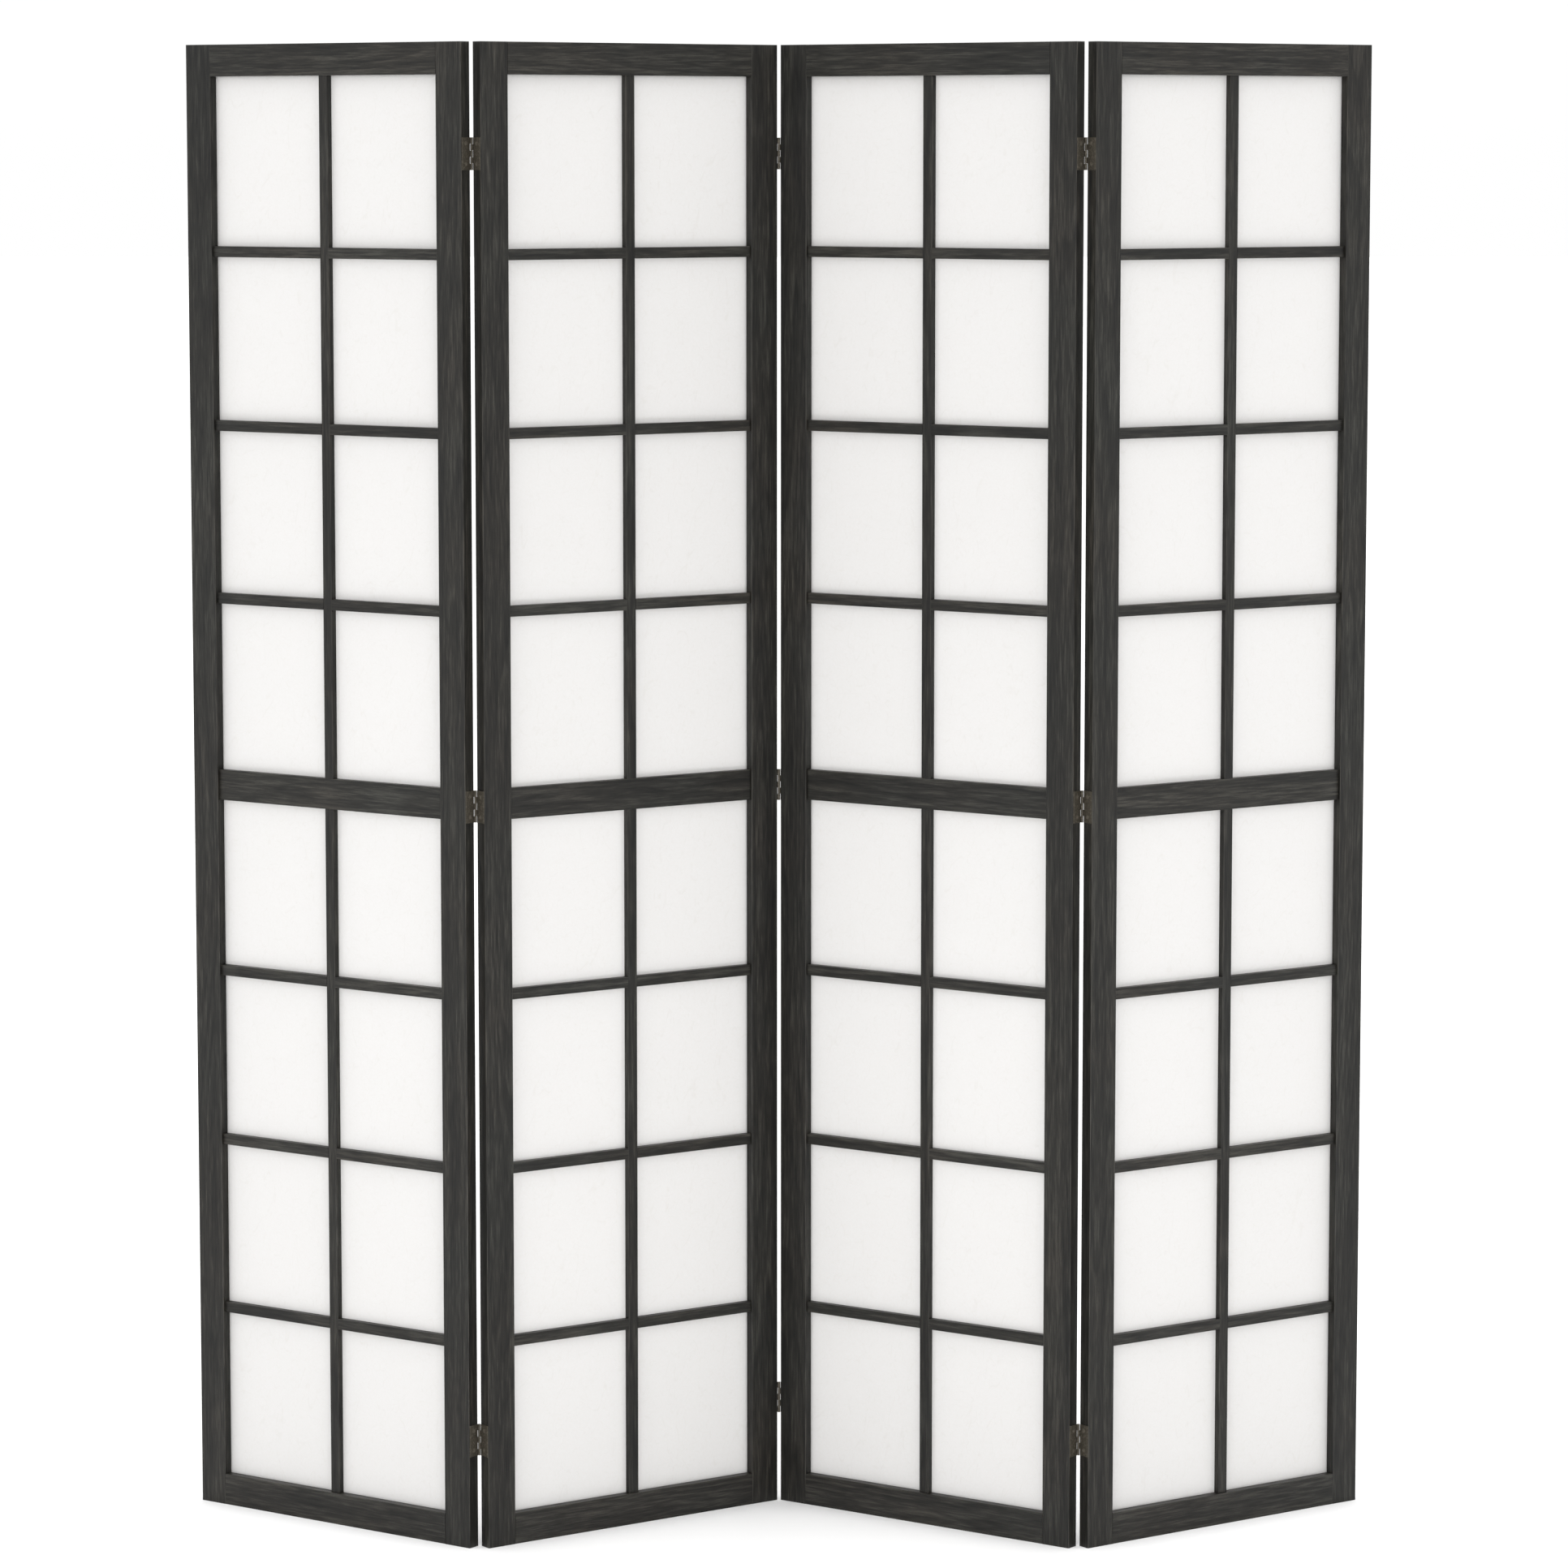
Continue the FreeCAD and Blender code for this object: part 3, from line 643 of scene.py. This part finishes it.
# %% [markdown]
# The fibres lie in a fine cloudiness, the uneven thickness of the sheet, and both darken the paper by a few
# hundredths and raise it by a few hundredths of a millimetre.

# %% Make the paper
PAPER_COLOUR = (0.784, 0.777, 0.770, 1)
FIBRE_COLOUR = (0.744, 0.733, 0.716, 1)
PAPER_PASSES = 0.34
CLOUDS_PER_METRE = 330.0
CLOUD_DETAIL = 3.0
MOTTLE_BY_CLOUD = (0.3, 0.7, 0.0, 0.35)
PAPER_RELIEF = 0.06 * MM
PAPER_RELIEF_STRENGTH = 0.35
PAPER_ROUGHNESS = 0.85
PAPER_SPECULAR = 0.1


def paper_material():
    """Matt paper that light passes through, with wandering fibres and a fine cloudiness."""
    material, tree, shader = new_material("shoji_paper")
    place = put(tree, "ShaderNodeTexCoord").outputs["Object"]
    fibres = 0.0
    for degrees, scale, width, strength in FIBRE_LAYERS:
        layer = fibre_lines(tree, place, degrees, scale, width, strength)
        fibres = math_node(tree, "MAXIMUM", fibres, layer)
    cloud = noise(tree, place, CLOUDS_PER_METRE, CLOUD_DETAIL)
    mottled = math_node(tree, "ADD", fibres, remap(tree, cloud, *MOTTLE_BY_CLOUD))
    colour = mix_colours(tree, mottled, PAPER_COLOUR, FIBRE_COLOUR)
    relief = {"Height": mottled, "Strength": PAPER_RELIEF_STRENGTH, "Distance": PAPER_RELIEF}
    raised = put(tree, "ShaderNodeBump", relief).outputs["Normal"]
    tree.links.new(colour, shader.inputs["Base Color"])
    tree.links.new(raised, shader.inputs["Normal"])
    shader.inputs["Roughness"].default_value = PAPER_ROUGHNESS
    shader.inputs["Specular IOR Level"].default_value = PAPER_SPECULAR
    through = put(tree, "ShaderNodeBsdfTranslucent", {"Color": colour, "Normal": raised})
    mixed = put(tree, "ShaderNodeMixShader", {0: PAPER_PASSES, 1: shader.outputs[0], 2: through.outputs[0]})
    tree.links.new(mixed.outputs[0], tree.nodes["Material Output"].inputs["Surface"])
    return material


paper = paper_material()
for sheet in sheets:
    sheet.data.materials.append(paper)
print("sheets papered:", len(sheets))

# %% [markdown]
# ## The hinges
#
# The hinges are small steel butts with a dark bronze finish, which is thinner, and so brighter, wherever it
# was rubbed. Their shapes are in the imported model. One noise drives both the colour and the roughness,
# because a worn finish is brighter and smoother in the same places.

# %% Finish the hinge leaves and pins
BRONZE_DARK = (0.062, 0.054, 0.041)
BRONZE_WORN = (0.120, 0.107, 0.084)
BRONZE_METALLIC = 0.5
LEAF_WEAR = 0.12
PATCHES_PER_METRE = 420.0
PATCH_DETAIL = 4.0
SPECKS_PER_METRE = 2600.0
SPECKS_OVER_PATCHES = 0.25
UNWORN_BELOW = 0.62
BARE_ABOVE = 0.78
ROUGHNESS_BY_WEAR = (0.0, 1.0, 0.48, 0.32)
SPECK_RELIEF = 0.02 * MM
SPECK_STRENGTH = 0.25


def bronze_material(name, wear):
    """Dark bronze over steel. A higher wear leaves more of it worn thin."""
    material, tree, shader = new_material(name)
    place = put(tree, "ShaderNodeTexCoord").outputs["Object"]
    patches = noise(tree, place, PATCHES_PER_METRE, PATCH_DETAIL)
    specks = noise(tree, place, SPECKS_PER_METRE)
    mixed = blend_values(tree, SPECKS_OVER_PATCHES, patches, specks)
    worn = remap(tree, mixed, UNWORN_BELOW - wear, BARE_ABOVE - wear)
    tree.links.new(ramp(tree, worn, [(0.0, BRONZE_DARK), (1.0, BRONZE_WORN)]), shader.inputs["Base Color"])
    tree.links.new(remap(tree, worn, *ROUGHNESS_BY_WEAR), shader.inputs["Roughness"])
    relief = {"Height": specks, "Strength": SPECK_STRENGTH, "Distance": SPECK_RELIEF}
    tree.links.new(put(tree, "ShaderNodeBump", relief).outputs["Normal"], shader.inputs["Normal"])
    shader.inputs["Metallic"].default_value = BRONZE_METALLIC
    return material


hinge_bronze = bronze_material("hinge_bronze", LEAF_WEAR)
hinge_nodes = [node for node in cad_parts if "hinge" in node]
for node in hinge_nodes:
    finish_node(node, hinge_bronze)
print("hinge nodes finished:", len(hinge_nodes))

# %% [markdown]
# ## The screws
#
# Two countersunk screws hold each leaf, one above the other in the middle of the stile's edge. They are seen
# only between the panels, so the head is what matters: a low crown that stands a third of a millimetre proud,
# with a cross recess. The head is a surface of two parameters, the distance from the middle and the angle
# round it. Its height is a shallow dome, less a cross-shaped hollow, so the recess needs no cutting tool. A
# ring at the rim turns the surface down into the leaf, and a flat underside closes it.

# %% Shape one screw head
HEAD_RADIUS = 2.6 * MM
HEAD_CROWN = 0.34 * MM
HEAD_RIM = 0.10 * MM
HEAD_SINK = 0.10 * MM
RECESS_ARM = 1.55 * MM
RECESS_HALF_WIDTH = 0.34 * MM
RECESS_WALL = 0.14 * MM
RECESS_DEPTH = 0.26 * MM
HEAD_RINGS = 18
HEAD_SIDES = 48


def recess_share(across, up):
    """How far a place lies into the cross: 0 outside it, 1 on its floor, rising over the width of a wall."""
    along, beside = np.maximum(abs(across), abs(up)), np.minimum(abs(across), abs(up))
    outside = np.maximum(along - RECESS_ARM, beside - RECESS_HALF_WIDTH)
    return np.clip(-outside / RECESS_WALL, 0, 1)


def screw_head():
    """Rings of points from the middle of the crown over the rim to the underside: across, up and out."""
    radius = HEAD_RADIUS * np.linspace(0, 1, HEAD_RINGS + 1)[1:, None]
    angle = np.linspace(0, 2 * np.pi, HEAD_SIDES, endpoint=False)[None, :]
    across, up = radius * np.cos(angle), radius * np.sin(angle)
    dome = HEAD_RIM + (HEAD_CROWN - HEAD_RIM) * (1 - (radius / HEAD_RADIUS) ** 2)
    out = dome - RECESS_DEPTH * recess_share(across, up)
    crown = np.stack((across, up, out), axis=-1)
    rim = crown[-1:] * (1, 1, 0) - (0, 0, HEAD_SINK)
    return np.concatenate((crown, rim))


def close_rings(rings):
    """Points and faces of a closed shell: rings that run round, and a pole in the middle of each end."""
    count, sides, _ = rings.shape
    poles = (rings[0].mean(axis=0), rings[-1].mean(axis=0))
    points = np.concatenate((rings.reshape(-1, 3), poles))
    side = np.arange(sides)
    following = (side + 1) % sides
    faces = []
    for ring in range(count - 1):
        near, far = ring * sides, (ring + 1) * sides
        faces.extend(np.column_stack((near + side, far + side, far + following, near + following)).tolist())
    first_pole, last_pole = count * sides, count * sides + 1
    last_ring = (count - 1) * sides
    faces.extend(np.column_stack((np.full(sides, first_pole), side, following)).tolist())
    underside = (np.full(sides, last_pole), last_ring + following, last_ring + side)
    faces.extend(np.column_stack(underside).tolist())
    return points, faces


head_points, head_faces = close_rings(screw_head())
print("one screw head:", len(head_points), "points,", len(head_faces), "faces")

# %% [markdown]
# ## Where the screws go
#
# Each leaf is measured in its panel's directions. Its free end stops short of the face of the stile, and only
# the plate is there, so the points at that end give the two faces of the plate. The screws go into the one
# that looks away from the wood, halfway through the stile's thickness.

# %% Find the place of each screw
SCREW_SPACING = 24 * MM
TOUCHING = 0.05 * MM
HINGE_LEVELS = ("bottom", "middle", "top")
LEAVES_OF_PANEL = {
    1: (("left_fold", "left"),),
    2: (("left_fold", "right"), ("centre_fold", "left")),
    3: (("centre_fold", "right"), ("right_fold", "left")),
    4: (("right_fold", "right"),),
}


def screw_places(panel):
    """For each screw of a panel: its place on the leaf (across, back, up), and which way across it faces."""
    stile_low, stile_high = panel_box(panel, f"panel_{panel}_stile_left")
    _, last_stile_high = panel_box(panel, f"panel_{panel}_stile_right")
    panel_middle = (stile_low[0] + last_stile_high[0]) / 2
    places = []
    for fold, side in LEAVES_OF_PANEL[panel]:
        for level in HINGE_LEVELS:
            points = turn_points(corners_of(f"{fold}_{level}_hinge_{side}_leaf"), -turns[panel])
            low, high = points.min(axis=0), points.max(axis=0)
            free_end = low[1] if low[1] > stile_low[1] else high[1]
            plate = points[abs(points[:, 1] - free_end) < TOUCHING]
            facing = 1 if low[0] > panel_middle else -1
            face = plate[:, 0].max() if facing > 0 else plate[:, 0].min()
            for step in (-1, 1):
                up = (low[2] + high[2] + step * SCREW_SPACING) / 2
                places.append(((face, (stile_low[1] + stile_high[1]) / 2, up), facing))
    return places


for panel in PANELS:
    print(f"panel {panel}: {len(screw_places(panel))} screws")

# %% [markdown]
# ## Drive the screws
#
# All the screws of a panel are one piece, as they come out of one box. No two of them stop at the same angle:
# each is turned on from the last by the golden angle, which never repeats. The driver has rubbed their
# finish, so they take the same bronze with more wear.

# %% Drive the screws
GOLDEN_ANGLE = math.radians(137.5)
SCREW_WEAR = 0.28


def drive_screws(panel):
    """One mesh of all the panel's screw heads, each laid on its leaf and turned by its own angle."""
    points, faces = [], []
    for number, (place, facing) in enumerate(screw_places(panel)):
        spun = turn_points(head_points, number * GOLDEN_ANGLE)
        laid = np.column_stack((facing * spun[:, 2], facing * spun[:, 0], spun[:, 1])) + place
        faces.extend([[index + len(points) for index in face] for face in head_faces])
        points.extend(turn_points(laid, turns[panel]).tolist())
    mesh = bpy.data.meshes.new(f"panel_{panel}_hinge_screws")
    mesh.from_pydata(points, [], faces)
    mesh.materials.append(screw_bronze)
    piece = bpy.data.objects.new(mesh.name, mesh)
    scene.collection.objects.link(piece)
    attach(piece, f"panel_{panel}")
    print(f"{piece.name}: {len(faces)} faces")


screw_bronze = bronze_material("screw_bronze", SCREW_WEAR)
for panel in PANELS:
    drive_screws(panel)
